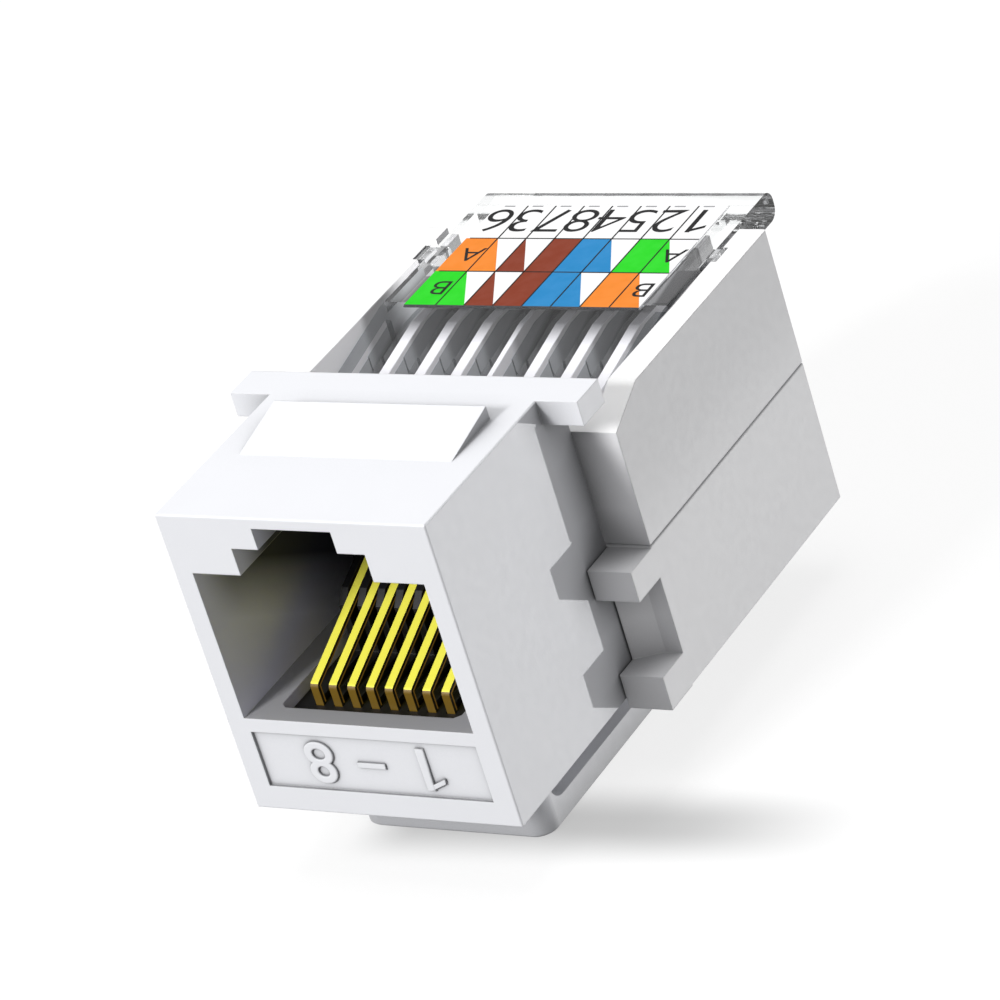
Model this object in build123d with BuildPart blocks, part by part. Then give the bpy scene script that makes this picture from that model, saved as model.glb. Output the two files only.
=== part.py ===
"""Keystone jack for eight-wire data cable, in millimetres.

The origin is under the middle of the jack, on the flat underside of its latch arm. +Z is up, the socket faces -Y
and the wires come in at +Y. Depths are measured back from the front face, heights up from the latch arm.
"""
import os
from math import cos, radians, sin, tan

from build123d import *

# Front body, from the bottom up
arm_thickness = 1.27
arm_gap = 2.58
floor_height = 5.03
socket_height = 7.89
step_1_height = 1.42
step_2_height = 1.11
top_wall = 0.55
face_width = 14.5
body_depth = 12.1
edge_bevel = 0.06

# Plug socket and the bay in its floor
socket_width = 12.44
step_1_width = 7.15
step_2_width = 4.25
bay_width = 9.74
bay_front = 1.05
bay_corner = 0.3

# Marking plate under the socket
plate_width = 12.2
plate_height = 3.0
plate_margin = 1.29
plate_depth = 0.15

# Snap wedge and cross bar with ears, on top
wedge_width = 11.5
wedge_front = 5.08
wedge_height = 0.68
panel_slot = 1.58
bar_front = 10.25
bar_side = 0.21
bar_depth = 2.0
bar_height = 1.24

# Latch arm
arm_width = 10.36
arm_front = 4.2
arm_length = 15.6
arm_root = 1.1
arm_root_radius = 0.9
arm_corner = 1.0
arm_bevel = 0.12
catch_width = 5.6
catch_depth = 0.65
grip_ridge = 0.35
grip_inset = 0.45
grip_pitch = 1.1
grip_count = 3

# Contact springs
contact_count = 8
contact_pitch = 1.02
contact_width = 0.42
contact_thickness = 0.24
contact_front = 2.25
contact_lift = 0.52
contact_slope = 21.5
contact_end_gap = 0.28
contact_bend = 0.16
contact_tail_inset = 1.6
contact_tail_step = 1.3
contact_tail_proud = 0.4

# Contact carrier
slab_drop = 0.61
slab_thickness = 1.2
groove_depth = 0.55
groove_play = 0.06
carrier_play = 0.05
carrier_back = 1.1
comb_front = 6.6
comb_face = 1.93
comb_nose = 0.6
comb_tooth = 0.38
carrier_tail = 4.9
carrier_tail_side = 0.22

# Rear housing
housing_width = 19.3
housing_length = 16.1
housing_wall = 1.45
housing_end_wall = 1.2
wall_top_drop = 1.55
chamfer_drop = 2.75
chamfer_depth = 2.6
seam_drop = 8.8
seam_bevel = 0.07
rear_corner = 0.15
shell_wall = 1.3
shell_floor = 1.2
shell_below = 0.4

# Fingers on the lower shell, beside the front body
finger_reach = 2.05
finger_gap = 0.1
upper_finger_drop = 0.1
upper_finger_height = 1.6
lower_finger_height = 1.8
lug_reach = 0.75
lug_width = 1.4

# Circuit board, clamped at the seam
board_thickness = 1.0
board_above_seam = 0.8
board_play = 0.1
board_ledge = 0.6
hole_play = 0.08

# Ribs between the wire channels
channel_count = 8
channel_margin = 0.12
rib_thickness = 0.56
rib_foot = 0.7
notch_width = 1.2
notch_depth = 1.9

# Clear cap
cap_drop = 1.6
cap_thickness = 0.8
cap_side_gap = 0.35
cap_play = 0.1
cap_slope = 11
flat_front = 20.9
lip_overhang = 3.96
lip_depth = 1.8
lip_height = 1.5
lip_radius = 0.62
presser_width = 0.9
presser_front = 18.35
presser_depth = 1.9
presser_gap = 0.5
presser_round = 0.3
guide_width = 0.74
guide_front = 14.1
guide_depth = 0.85
skirt_thickness = 0.45
skirt_depth = 1.2
tooth_length = 0.9
tooth_height = 0.5
lug_side = 0.55
lug_length = 1.15
lug_height = 0.6
lug_from_end = 0.6
lug_play = 0.08

# Wiring label
label_side = 1.33
label_length = 9.5
label_thickness = 0.15
label_proud = 0.05
label_play = 0.04
label_margin = 0.05

# Wire cutting blades
blade_side_gap = 0.15
blade_thickness = 0.4
blade_height = 3.7
blade_slot = 0.32
blade_slot_depth = 2.3
blade_mouth = 0.62
blade_mouth_depth = 0.5
blade_tail = 0.5
blade_tail_proud = 0.7
blade_front_row = 22.5
blade_rear_row = 25.6

# Heights that the pieces share
body_bottom = arm_thickness + arm_gap
floor_z = body_bottom + floor_height
shoulder_z = floor_z + socket_height
step_1_z = shoulder_z + step_1_height
step_2_z = step_1_z + step_2_height
body_top = step_2_z + top_wall
slab_top = floor_z - slab_drop
slab_bottom = slab_top - slab_thickness
seam_z = body_top - seam_drop
board_top = seam_z + board_above_seam
board_bottom = board_top - board_thickness
wall_top = body_top - wall_top_drop
shell_bottom = body_bottom - shell_below
cap_top = body_top - cap_drop
cap_under = cap_top - cap_thickness
rib_top = cap_under - cap_play / 2

# Depths that the pieces share, from the middle of the jack's length
overall_length = body_depth + housing_length + lip_overhang
front_y = -overall_length / 2
body_rear = front_y + body_depth
housing_rear = body_rear + housing_length
cavity_front = body_rear + housing_end_wall
cavity_rear = housing_rear - housing_end_wall
wedge_rear = front_y + bar_front - panel_slot
flat_front_y = front_y + flat_front

# Widths that the pieces share
half_face = face_width / 2
half_housing = housing_width / 2
half_cavity = half_housing - housing_wall
half_shell_cavity = half_housing - shell_wall
half_cap = half_cavity - cap_side_gap
board_half = half_cavity - board_play
bar_width = housing_width - 2 * bar_side
carrier_tail_width = bay_width - 2 * carrier_tail_side
channel_pitch = 2 * (half_cavity - channel_margin) / channel_count
blade_width = channel_pitch - rib_thickness - 2 * blade_side_gap
label_width = 2 * (half_cap - label_side)


def column(index, count, pitch):
    """Side position of one of a row of pieces that is centred on the jack."""
    return (index - (count - 1) / 2) * pitch


def rib_drop(y):
    """How far the ribs and the cap's front have sloped down at a place in front of the flat part."""
    return max(0.0, flat_front_y - y) * slope_rate


def save(part, name):
    part.label = name
    export_step(part, f"parts/{name}.step")


contact_columns = [column(i, contact_count, contact_pitch) for i in range(contact_count)]
channel_columns = [column(i, channel_count, channel_pitch) for i in range(channel_count)]
rib_columns = [column(i, channel_count - 1, channel_pitch) for i in range(channel_count - 1)]
blade_rows = [front_y + (blade_front_row if i % 2 else blade_rear_row) for i in range(channel_count)]
tail_rows = [cavity_front + contact_tail_inset + (i % 2) * contact_tail_step for i in range(contact_count)]
slope_rate = tan(radians(cap_slope))
contact_rate = tan(radians(contact_slope))
os.makedirs("parts", exist_ok=True)


def socket_points(play):
    """Corners of the plug socket's stepped outline, seen from the front, smaller all round by the play."""
    half_main = socket_width / 2 - play
    half_step_1 = step_1_width / 2 - play
    half_step_2 = step_2_width / 2 - play
    right = [
        (half_main, floor_z + play),
        (half_main, shoulder_z - play),
        (half_step_1, shoulder_z - play),
        (half_step_1, step_1_z - play),
        (half_step_2, step_1_z - play),
        (half_step_2, step_2_z - play),
    ]
    left = [(-x, z) for x, z in reversed(right)]
    return right + left


# Front body: socket, marking plate, wedge, cross bar and latch arm in one moulding
with BuildPart() as front_body:
    with BuildSketch(Plane.XZ.offset(-front_y)):
        with Locations((0, (body_bottom + body_top) / 2)):
            Rectangle(face_width, body_top - body_bottom)
    extrude(amount=-body_depth)
    chamfer(front_body.faces().sort_by(Axis.Y)[0].edges(), edge_bevel)
    chamfer(front_body.edges().filter_by(Axis.Y), edge_bevel)

    with BuildSketch(Plane.XY.offset(body_top - bar_height)):
        with Locations((0, front_y + bar_front + bar_depth / 2)):
            Rectangle(bar_width, bar_depth)
    extrude(amount=bar_height)

    with BuildSketch(Plane.XZ.offset(-front_y)):
        with BuildLine():
            Polyline(*socket_points(0), close=True)
        make_face()
    extrude(amount=-body_depth, mode=Mode.SUBTRACT)

    bay_length = body_depth - bay_front
    with BuildSketch(Plane.XY.offset(slab_bottom)):
        with Locations((0, body_rear - bay_length / 2)):
            bay = Rectangle(bay_width, bay_length)
        chamfer(bay.vertices().group_by(Axis.Y)[0], bay_corner)
    extrude(amount=floor_z - slab_bottom, mode=Mode.SUBTRACT)

    with BuildSketch(Plane.XZ.offset(-front_y)):
        with Locations((0, body_bottom + plate_margin + plate_height / 2)):
            Rectangle(plate_width, plate_height)
    extrude(amount=-plate_depth, mode=Mode.SUBTRACT)

    with BuildSketch(Plane.YZ):
        with BuildLine():
            Polyline(
                (front_y + wedge_front, body_top),
                (wedge_rear, body_top),
                (wedge_rear, body_top + wedge_height),
                close=True,
            )
        make_face()
    extrude(amount=wedge_width / 2, both=True)

    arm_rear = front_y + arm_front + arm_length
    with BuildSketch(Plane.YZ):
        with BuildLine():
            Polyline(
                (front_y + arm_front, body_bottom),
                (front_y + arm_front, 0),
                (arm_rear, 0),
                (arm_rear, arm_thickness),
                (front_y + arm_front + arm_root, arm_thickness),
                (front_y + arm_front + arm_root, body_bottom),
                close=True,
            )
        outline = make_face()
        root = outline.vertices().sort_by(Axis.X)[2:4].sort_by(Axis.Y)[0]
        fillet(root, arm_root_radius)
    extrude(amount=arm_width / 2, both=True)
    arm_sides = front_body.edges().filter_by(Axis.Z).filter_by(lambda e: e.center().Z < body_bottom)
    fillet(arm_sides.group_by(Axis.Y)[0], arm_corner)
    chamfer(front_body.faces().sort_by(Axis.Z)[0].edges(), arm_bevel)
    with BuildSketch(Plane.XY):
        with Locations((0, wedge_rear + panel_slot / 2)):
            Rectangle(catch_width, panel_slot)
    extrude(amount=catch_depth, mode=Mode.SUBTRACT)
    for ridge in range(grip_count):
        with Locations((0, arm_rear - grip_pitch * (ridge + 0.5), arm_thickness)):
            Box(arm_width - 2 * grip_inset, grip_ridge, grip_ridge, align=(Align.CENTER, Align.CENTER, Align.MIN))
save(front_body.part, "front_body")

# Contact carrier: slab in the bay with a groove for each spring, socket's rear wall with a comb, and tail
slab_front = front_y + bay_front + carrier_play
slab_rear = body_rear - carrier_play
wall_front = slab_rear - carrier_back
tail_rear = body_rear + carrier_tail
groove_front = front_y + contact_front - groove_play
with BuildPart() as contact_carrier:
    with BuildSketch(Plane.XY.offset(slab_bottom)):
        with Locations((0, (slab_front + slab_rear) / 2)):
            slab = Rectangle(bay_width - 2 * carrier_play, slab_rear - slab_front)
        chamfer(slab.vertices().group_by(Axis.Y)[0], bay_corner)
        with Locations((0, (slab_front + tail_rear) / 2)):
            Rectangle(carrier_tail_width, tail_rear - slab_front - 2 * bay_corner)
    extrude(amount=slab_thickness)
    with BuildSketch(Plane.XZ.offset(-slab_rear)):
        with BuildLine():
            Polyline(*socket_points(carrier_play), close=True)
        make_face()
        with Locations((0, (slab_top + floor_z) / 2)):
            Rectangle(bay_width - 2 * carrier_play, floor_z - slab_top + 2 * carrier_play)
    extrude(amount=carrier_back)

    comb_y = front_y + comb_front
    comb_peak = floor_z + comb_face + comb_nose
    with BuildSketch(Plane.YZ) as tooth:
        with BuildLine():
            Polyline(
                (wall_front, slab_top),
                (comb_y, slab_top),
                (comb_y, floor_z + comb_face),
                (comb_y + comb_nose, comb_peak),
                (wall_front, comb_peak + (wall_front - comb_y - comb_nose) * contact_rate),
                close=True,
            )
        make_face()
    tooth_columns = [column(i, contact_count + 1, contact_pitch) for i in range(contact_count + 1)]
    for x in tooth_columns:
        with Locations((x, 0, 0)):
            add(extrude(tooth.sketch, amount=comb_tooth / 2, both=True, mode=Mode.PRIVATE))

    for x, tail_y in zip(contact_columns, tail_rows):
        groove_rear = tail_y + contact_thickness + groove_play
        with Locations((x, (groove_front + groove_rear) / 2, slab_top)):
            Box(
                contact_width + 2 * groove_play,
                groove_rear - groove_front,
                groove_depth,
                align=(Align.CENTER, Align.CENTER, Align.MAX),
                mode=Mode.SUBTRACT,
            )
save(contact_carrier.part, "contact_carrier")

# Contact springs: free end in the comb, slope down to the front, fold, groove, then up through the board
spring_z = slab_top - groove_depth + contact_thickness / 2
fold_y = front_y + contact_front + contact_thickness / 2
contact_reach = wall_front - contact_end_gap - fold_y
fold_point = Vector(0, fold_y, floor_z + contact_lift - contact_thickness / 2)
for number, (x, tail_y) in enumerate(zip(contact_columns, tail_rows), start=1):
    with BuildPart() as contact:
        with BuildLine() as spring_line:
            FilletPolyline(
                Vector(x, contact_reach, contact_reach * contact_rate) + fold_point,
                Vector(x, 0, 0) + fold_point,
                (x, fold_y, spring_z),
                (x, tail_y, spring_z),
                (x, tail_y, board_top + contact_tail_proud),
                radius=contact_bend,
            )
        start = spring_line.line @ 0
        with BuildSketch(Plane(origin=start, x_dir=(1, 0, 0), z_dir=spring_line.line % 0)):
            Rectangle(contact_width, contact_thickness)
        sweep()
    save(contact.part, f"contact_{number}")

# Circuit board with a hole for each spring and each blade
board_front = cavity_front + board_play
board_rear = cavity_rear - board_play
with BuildPart() as circuit_board:
    with BuildSketch(Plane.XY.offset(board_bottom)):
        with Locations((0, (board_front + board_rear) / 2)):
            Rectangle(2 * board_half, board_rear - board_front)
        for x, y in zip(contact_columns, tail_rows):
            with Locations((x, y)):
                Rectangle(contact_width + 2 * hole_play, contact_thickness + 2 * hole_play, mode=Mode.SUBTRACT)
        for x, y in zip(channel_columns, blade_rows):
            with Locations((x, y)):
                Rectangle(blade_tail + 2 * hole_play, blade_thickness + 2 * hole_play, mode=Mode.SUBTRACT)
    extrude(amount=board_thickness)
save(circuit_board.part, "circuit_board")

# Forked blades, one standing in each wire channel
for number, (x, y) in enumerate(zip(channel_columns, blade_rows), start=1):
    blade_top = board_top + blade_height
    with BuildPart() as blade:
        with BuildSketch(Plane.XZ.offset(-(y + blade_thickness / 2))):
            with Locations((x, board_top + blade_height / 2)):
                Rectangle(blade_width, blade_height)
            tail_height = board_thickness + blade_tail_proud
            with Locations((x, board_top - tail_height / 2)):
                Rectangle(blade_tail, tail_height)
            with BuildLine():
                Polyline(
                    (x - blade_slot / 2, blade_top - blade_slot_depth),
                    (x + blade_slot / 2, blade_top - blade_slot_depth),
                    (x + blade_slot / 2, blade_top - blade_mouth_depth),
                    (x + blade_mouth / 2, blade_top),
                    (x - blade_mouth / 2, blade_top),
                    (x - blade_slot / 2, blade_top - blade_mouth_depth),
                    close=True,
                )
            make_face(mode=Mode.SUBTRACT)
        extrude(amount=blade_thickness)
    save(blade.part, f"idc_blade_{number}")

# Upper housing: side and end walls, seven ribs, wire notches in the rear wall, pockets for the cap's lugs
lug_rear = cavity_rear - lug_from_end
with BuildPart() as upper_housing:
    with BuildSketch(Plane.YZ):
        with BuildLine():
            Polyline(
                (body_rear, seam_z),
                (housing_rear, seam_z),
                (housing_rear, wall_top),
                (body_rear + chamfer_depth, wall_top),
                (body_rear, body_top - chamfer_drop),
                close=True,
            )
        make_face()
    extrude(amount=half_housing, both=True)
    fillet(upper_housing.edges().filter_by(Axis.Z).group_by(Axis.Y)[-1], rear_corner)
    chamfer(upper_housing.faces().sort_by(Axis.Z)[0].edges(), seam_bevel)
    with BuildSketch(Plane.XY.offset(seam_z)):
        with Locations((0, (cavity_front + cavity_rear) / 2)):
            Rectangle(2 * half_cavity, cavity_rear - cavity_front)
    extrude(amount=body_top - seam_z, mode=Mode.SUBTRACT)
    with BuildSketch(Plane.XY.offset(cap_under)):
        with Locations((0, (cavity_rear + housing_rear) / 2)):
            Rectangle(2 * half_cavity, housing_end_wall + 2 * rear_corner)
    extrude(amount=body_top - cap_under, mode=Mode.SUBTRACT)

    with BuildSketch(Plane.YZ) as rib:
        with BuildLine():
            Polyline(
                (cavity_front, board_top + rib_foot),
                (cavity_rear, board_top + rib_foot),
                (cavity_rear, rib_top),
                (flat_front_y, rib_top),
                (cavity_front, rib_top - rib_drop(cavity_front)),
                close=True,
            )
        make_face()
    for x in rib_columns:
        with Locations((x, 0, 0)):
            add(extrude(rib.sketch, amount=rib_thickness / 2, both=True, mode=Mode.PRIVATE))

    with BuildSketch(Plane.XZ.offset(-housing_rear)):
        for x in channel_columns:
            with Locations((x, cap_under - notch_depth + notch_width / 2)):
                Circle(notch_width / 2)
            with Locations((x, cap_under - (notch_depth - notch_width / 2) / 2)):
                Rectangle(notch_width, notch_depth - notch_width / 2)
    extrude(amount=housing_end_wall, mode=Mode.SUBTRACT)

    for side in (-1, 1):
        ledge_depth = board_ledge - board_play
        with Locations((side * (half_cavity - ledge_depth / 2), (cavity_front + cavity_rear) / 2, board_top)):
            Box(ledge_depth, cavity_rear - cavity_front, rib_foot, align=(Align.CENTER, Align.CENTER, Align.MIN))
        pocket_depth = half_cap + lug_side + lug_play - half_cavity
        with Locations((side * (half_cavity + pocket_depth / 2), lug_rear - lug_length / 2, wall_top)):
            Box(
                pocket_depth,
                lug_length + 2 * lug_play,
                wall_top - cap_top + lug_height + lug_play,
                align=(Align.CENTER, Align.CENTER, Align.MAX),
                mode=Mode.SUBTRACT,
            )
save(upper_housing.part, "upper_housing")

# Lower shell: open tray with rails for the board, a way in for the springs, and fingers beside the body
with BuildPart() as lower_shell:
    with BuildSketch(Plane.XY.offset(shell_bottom)):
        with Locations((0, (body_rear + housing_rear) / 2)):
            Rectangle(housing_width, housing_length)
    extrude(amount=seam_z - shell_bottom)
    fillet(lower_shell.edges().filter_by(Axis.Z).group_by(Axis.Y)[-1], rear_corner)
    chamfer(lower_shell.faces().sort_by(Axis.Z)[-1].edges(), seam_bevel)
    chamfer(lower_shell.faces().sort_by(Axis.Z)[0].edges().sort_by(Axis.Y)[1:], edge_bevel)
    with BuildSketch(Plane.XY.offset(shell_bottom + shell_floor)):
        with Locations((0, (cavity_front + cavity_rear) / 2)):
            Rectangle(2 * half_shell_cavity, cavity_rear - cavity_front)
    extrude(amount=seam_z - shell_bottom, mode=Mode.SUBTRACT)
    for side in (-1, 1):
        rail_top = min(board_bottom, seam_z)
        with Locations((side * (half_shell_cavity - board_ledge / 2), (cavity_front + cavity_rear) / 2, rail_top)):
            Box(board_ledge, cavity_rear - cavity_front, shell_wall, align=(Align.CENTER, Align.CENTER, Align.MAX))
    with BuildSketch(Plane.XY.offset(slab_bottom - carrier_play)):
        with Locations((0, (body_rear + cavity_front) / 2)):
            Rectangle(carrier_tail_width + 2 * carrier_play, housing_end_wall)
    extrude(amount=seam_z - slab_bottom + carrier_play, mode=Mode.SUBTRACT)

    finger_inner = half_face + finger_gap
    finger_width = half_housing - finger_inner
    upper_finger_top = seam_z - upper_finger_drop
    upper_finger_bottom = upper_finger_top - upper_finger_height
    lower_finger_top = shell_bottom + lower_finger_height
    for side in (-1, 1):
        finger_x = side * (finger_inner + finger_width / 2)
        with Locations((finger_x, body_rear, upper_finger_bottom)):
            Box(finger_width, finger_reach, upper_finger_height, align=(Align.CENTER, Align.MAX, Align.MIN))
        with Locations((finger_x, body_rear, shell_bottom)):
            Box(finger_width, finger_reach, lower_finger_height, align=(Align.CENTER, Align.MAX, Align.MIN))
        with BuildSketch(Plane.XY.offset(lower_finger_top)):
            with BuildLine():
                Polyline(
                    (side * finger_inner, body_rear),
                    (side * finger_inner, body_rear - lug_reach),
                    (side * (finger_inner + lug_width), body_rear),
                    close=True,
                )
            make_face()
        extrude(amount=upper_finger_bottom - lower_finger_top)
save(lower_shell.part, "lower_shell")

# Clear cap: sloped front, flat top with the label's recess, rounded lip, pressers and guides over the wires,
# side skirts and lugs
cap_front = cavity_front + cap_play
cap_front_drop = rib_drop(cap_front)
lip_rear = housing_rear + lip_overhang
lip_front = lip_rear - lip_depth
label_front = flat_front_y + label_margin
slope = radians(cap_slope)
root_depth = cap_thickness / 4
presser_front_y = front_y + presser_front
guide_rear_y = presser_front_y + presser_round
guide_length = (presser_front - guide_front + presser_round) / cos(slope)
skirt_rear = cavity_rear - cap_play
with BuildPart() as clear_cap:
    with BuildSketch(Plane.YZ):
        with BuildLine():
            Polyline(
                (cap_front, cap_under - cap_front_drop),
                (flat_front_y, cap_under),
                (lip_front, cap_under),
                (lip_front, cap_top - lip_height),
                (lip_rear, cap_top - lip_height),
                (lip_rear, cap_top),
                (flat_front_y, cap_top),
                (cap_front, cap_top - cap_front_drop),
                close=True,
            )
        cap_face = make_face()
        fillet(cap_face.vertices().group_by(Axis.X)[-1], lip_radius)
    extrude(amount=half_cap, both=True)

    with BuildSketch(Plane.XY.offset(cap_top)):
        with Locations((0, label_front + label_length / 2)):
            Rectangle(label_width + 2 * label_play, label_length + 2 * label_play)
    extrude(amount=label_proud - label_thickness, mode=Mode.SUBTRACT)

    for x, y in zip(channel_columns, blade_rows):
        rear = y - presser_gap
        with BuildSketch(Plane.XZ.offset(-rear)):
            with Locations((x, cap_under - presser_depth)):
                tongue = Rectangle(presser_width, presser_depth + root_depth, align=(Align.CENTER, Align.MIN))
            fillet(tongue.vertices().group_by(Axis.Y)[0], presser_round)
        extrude(amount=rear - presser_front_y)
        guide_start = (x, guide_rear_y, cap_under - rib_drop(guide_rear_y))
        with BuildSketch(Plane(origin=guide_start, x_dir=(1, 0, 0), z_dir=(0, -cos(slope), -sin(slope)))):
            with Locations((0, -guide_depth)):
                tongue = Rectangle(guide_width, guide_depth + root_depth, align=(Align.CENTER, Align.MIN))
            fillet(tongue.vertices().group_by(Axis.Y)[0], presser_round)
        extrude(amount=guide_length)
    for side in (-1, 1):
        with Locations((side * (half_cap - skirt_thickness / 2), (flat_front_y + skirt_rear) / 2, cap_under)):
            Box(
                skirt_thickness,
                skirt_rear - flat_front_y,
                skirt_depth,
                align=(Align.CENTER, Align.CENTER, Align.MAX),
            )
    for x in rib_columns:
        with Locations((x, lip_front, cap_under)):
            Box(rib_thickness, tooth_length, tooth_height, align=(Align.CENTER, Align.MAX, Align.MAX))
    for side in (-1, 1):
        with Locations((side * (half_cap + lug_side / 2), lug_rear - lug_length / 2, cap_top)):
            Box(lug_side, lug_length, lug_height, align=(Align.CENTER, Align.CENTER, Align.MAX))
save(clear_cap.part, "clear_cap")

# Printed label in the cap's recess
with BuildPart() as wiring_label:
    with BuildSketch(Plane.XY.offset(cap_top + label_proud)):
        with Locations((0, label_front + label_length / 2)):
            Rectangle(label_width, label_length)
    extrude(amount=-label_thickness)
save(wiring_label.part, "wiring_label")
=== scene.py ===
# Keystone jack: finishes, label print, marking, floor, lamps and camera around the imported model
import math

import bmesh
import bpy
from mathutils import Matrix, Vector


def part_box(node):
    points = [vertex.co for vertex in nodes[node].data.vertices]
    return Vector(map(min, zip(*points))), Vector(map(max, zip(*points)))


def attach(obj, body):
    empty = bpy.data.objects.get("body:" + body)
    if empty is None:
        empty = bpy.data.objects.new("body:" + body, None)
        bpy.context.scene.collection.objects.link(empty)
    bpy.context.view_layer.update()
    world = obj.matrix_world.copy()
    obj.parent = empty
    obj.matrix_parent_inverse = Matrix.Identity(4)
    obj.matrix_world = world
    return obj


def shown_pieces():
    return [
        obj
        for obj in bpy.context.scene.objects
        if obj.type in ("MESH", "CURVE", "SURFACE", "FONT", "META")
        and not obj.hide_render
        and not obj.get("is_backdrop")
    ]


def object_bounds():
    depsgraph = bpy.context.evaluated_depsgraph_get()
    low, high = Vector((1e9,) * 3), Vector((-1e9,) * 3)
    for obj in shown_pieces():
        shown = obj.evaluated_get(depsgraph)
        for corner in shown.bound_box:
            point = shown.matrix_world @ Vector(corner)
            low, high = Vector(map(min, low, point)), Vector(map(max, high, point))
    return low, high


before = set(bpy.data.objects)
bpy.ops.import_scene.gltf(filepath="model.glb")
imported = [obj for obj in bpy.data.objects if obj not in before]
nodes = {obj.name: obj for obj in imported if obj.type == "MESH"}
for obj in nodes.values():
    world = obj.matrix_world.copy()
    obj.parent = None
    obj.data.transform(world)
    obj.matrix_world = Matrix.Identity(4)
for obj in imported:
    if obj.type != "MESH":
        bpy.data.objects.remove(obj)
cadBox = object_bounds()
mm = 0.001
bpy.context.scene.view_settings.view_transform = "Standard"
print("frame:", len(nodes), "nodes")

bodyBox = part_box("front_body")
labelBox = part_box("wiring_label")
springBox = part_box("contact_1")
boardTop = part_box("circuit_board")[1].z
frontY = bodyBox[0].y


def shade(red, green, blue):  # screen colour, 0 to 255, as the linear one that a shader takes
    shares = [level / 255 for level in (red, green, blue)]
    return [((share + 0.055) / 1.055) ** 2.4 if share > 0.04 else share / 12.92 for share in shares] + [1.0]


# Node helpers
def placeNode(tree, kind, **settings):
    node = tree.nodes.new(kind)
    for name, value in settings.items():
        setattr(node, name, value)
    return node


def feed(tree, socket, value):
    if isinstance(value, bpy.types.NodeSocket):
        tree.links.new(value, socket)
    else:
        socket.default_value = value


def maths(tree, operation, *values, clamp=False):
    node = placeNode(tree, "ShaderNodeMath", operation=operation, use_clamp=clamp)
    for socket, value in zip(node.inputs, values):
        feed(tree, socket, value)
    return node.outputs[0]


def ramp(tree, value, low, high, atLow=0.0, atHigh=1.0, kind="SMOOTHSTEP"):
    node = placeNode(tree, "ShaderNodeMapRange", interpolation_type=kind)
    for socket, entry in zip(node.inputs, (value, low, high, atLow, atHigh)):
        feed(tree, socket, entry)
    return node.outputs[0]


def blendColour(tree, factor, first, second):
    node = placeNode(tree, "ShaderNodeMix", data_type="RGBA")
    feed(tree, node.inputs[0], factor)
    feed(tree, node.inputs[6], first)
    feed(tree, node.inputs[7], second)
    return node.outputs[2]


def objectAxes(tree):
    place = placeNode(tree, "ShaderNodeTexCoord").outputs["Object"]
    axes = placeNode(tree, "ShaderNodeSeparateXYZ")
    tree.links.new(place, axes.inputs[0])
    return place, axes.outputs[0], axes.outputs[1], axes.outputs[2]


def faceAxes(tree):
    normal = placeNode(tree, "ShaderNodeNewGeometry").outputs["True Normal"]
    axes = placeNode(tree, "ShaderNodeSeparateXYZ")
    tree.links.new(normal, axes.inputs[0])
    return axes.outputs


def newGroup(name, inputs, outputs):
    group = bpy.data.node_groups.new(name, "ShaderNodeTree")
    for label, value in inputs.items():
        socket = group.interface.new_socket(name=label, in_out="INPUT", socket_type="NodeSocketFloat")
        socket.default_value = value
    for label, kind in outputs.items():
        group.interface.new_socket(name=label, in_out="OUTPUT", socket_type="NodeSocket" + kind)
    return group, placeNode(group, "NodeGroupInput").outputs, placeNode(group, "NodeGroupOutput").inputs


def useGroup(tree, group, values):
    node = placeNode(tree, "ShaderNodeGroup", node_tree=group)
    for name, value in values.items():
        feed(tree, node.inputs[name], value)
    return node.outputs


# Shared effects
effects = {
    "grain": (("Tone", 0.04, 2.0), ("Polish", 0.25, 3.0), ("Height", 1.0, 4.0)),  # fineness, detail
    "edge": {"samples": 4, "flat": 0.995, "turned": 0.8},
    "corner": {"samples": 8, "open": 1.0, "closed": 0.45},
    "polish": (0.3, 0.7),
    "bumpDepth": 0.02 * mm,
}


def makeMouldGrain():
    # Tone drifts slowly over a face, Polish is in between, Height is the fine texture of the mould
    group, start, end = newGroup(
        "mouldGrain", {"Size": 0.4 * mm}, {"Tone": "Float", "Polish": "Float", "Height": "Float"}
    )
    place = objectAxes(group)[0]
    fineness = maths(group, "DIVIDE", 1.0, start["Size"])
    for name, share, detail in effects["grain"]:
        noise = placeNode(group, "ShaderNodeTexNoise")
        group.links.new(place, noise.inputs["Vector"])
        feed(group, noise.inputs["Scale"], maths(group, "MULTIPLY", fineness, share))
        noise.inputs["Detail"].default_value = detail
        group.links.new(noise.outputs[0], end[name])
    return group


def makeEdgeCatch():
    # Normal that turns softly round the edges, and a mask of where the edges are, which the mouldings use for
    # a painted highlight along them
    group, start, end = newGroup("edgeCatch", {"Radius": 0.08 * mm}, {"Edge": "Float", "Normal": "Vector"})
    look = effects["edge"]
    bevel = placeNode(group, "ShaderNodeBevel", samples=look["samples"])
    feed(group, bevel.inputs["Radius"], start["Radius"])
    face = placeNode(group, "ShaderNodeNewGeometry").outputs["True Normal"]
    dot = placeNode(group, "ShaderNodeVectorMath", operation="DOT_PRODUCT")
    group.links.new(bevel.outputs[0], dot.inputs[0])
    group.links.new(face, dot.inputs[1])
    group.links.new(ramp(group, dot.outputs["Value"], look["flat"], look["turned"]), end["Edge"])
    group.links.new(bevel.outputs[0], end["Normal"])
    return group


def makeCornerShade():
    # Shade is 0 on open faces and grows to 1 in corners, gaps and slots; the mouldings paint it into their
    # colour as painted shade
    group, start, end = newGroup("cornerShade", {"Reach": 1.5 * mm}, {"Shade": "Float"})
    look = effects["corner"]
    corners = placeNode(group, "ShaderNodeAmbientOcclusion", samples=look["samples"])
    feed(group, corners.inputs["Distance"], start["Reach"])
    shaded = ramp(group, corners.outputs["AO"], look["open"], look["closed"], kind="LINEAR")
    group.links.new(shaded, end["Shade"])
    return group


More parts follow.
